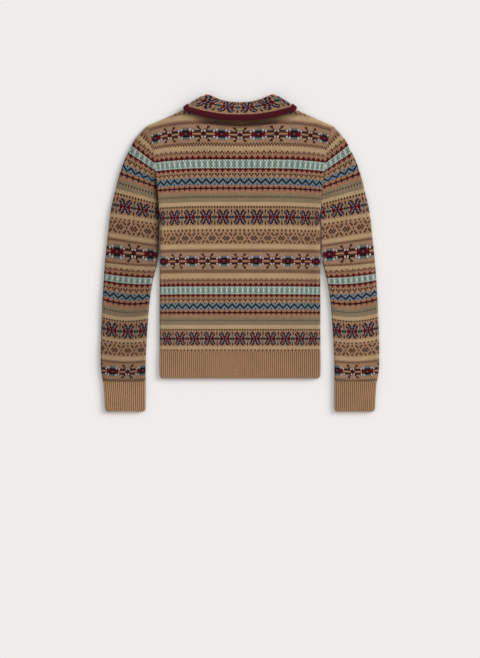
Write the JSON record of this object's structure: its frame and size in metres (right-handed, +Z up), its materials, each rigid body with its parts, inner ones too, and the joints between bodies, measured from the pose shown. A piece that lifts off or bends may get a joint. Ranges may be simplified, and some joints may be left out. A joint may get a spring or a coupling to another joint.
{
  "type": "patterned knit pullover, laid flat with its back up",
  "caption": "Long-sleeved patterned knit pullover with a fold-over collar, ribbed hem and ribbed cuffs, laid flat with its back up.",
  "frame": {"origin": "on the table, under the middle of the garment's outline", "axes": "+X to the right seen from above with the collar away from the viewer, +Y from hem to collar, +Z up from the table"},
  "size_m": [0.5858, 0.6668, 0.0154],
  "materials": {
    "body_knit": "matt wool, stranded colourwork bands",
    "rib_knit": "matt wool, 1x1 rib",
    "collar_knit": "matt wool, stranded colourwork band",
    "trim_knit": "matt wool, rounded burgundy band"
  },
  "bodies": {
    "root": {"back": "body_knit", "front": "body_knit", "sleeve_left": "body_knit", "sleeve_right": "body_knit", "hem_rib": "rib_knit", "cuff_left": "rib_knit", "cuff_right": "rib_knit", "collar": "collar_knit", "collar_trim": "trim_knit"}
  },
  "joints": []
}
